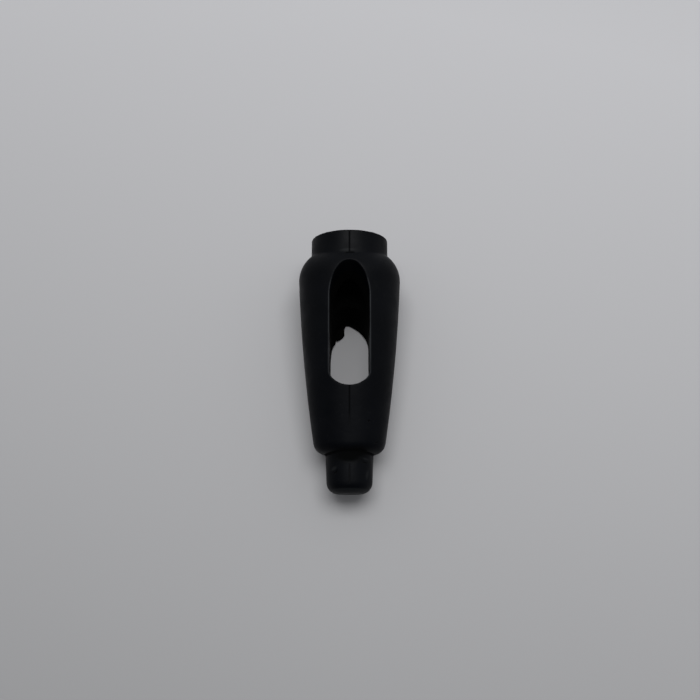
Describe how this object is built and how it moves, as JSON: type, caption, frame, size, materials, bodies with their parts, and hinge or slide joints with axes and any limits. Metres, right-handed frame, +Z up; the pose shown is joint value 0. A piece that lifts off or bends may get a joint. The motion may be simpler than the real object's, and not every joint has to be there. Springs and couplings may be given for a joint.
{
  "type": "strain relief bushing",
  "caption": "Tapered one-piece rubber cable bushing with a round collar, a swollen shoulder, a long open window through the body and a blunt tail.",
  "frame": {"origin": "middle of the footprint, on the surface that the bushing lies on", "axes": "+X across the body, +Y along its length towards the collar, +Z up, with the window's longer side facing up"},
  "size_m": [0.0204, 0.052, 0.018],
  "materials": {
    "black_rubber": "satin black moulded rubber with a fine grain"
  },
  "bodies": {
    "root": {"bushing": "black_rubber"}
  },
  "joints": []
}
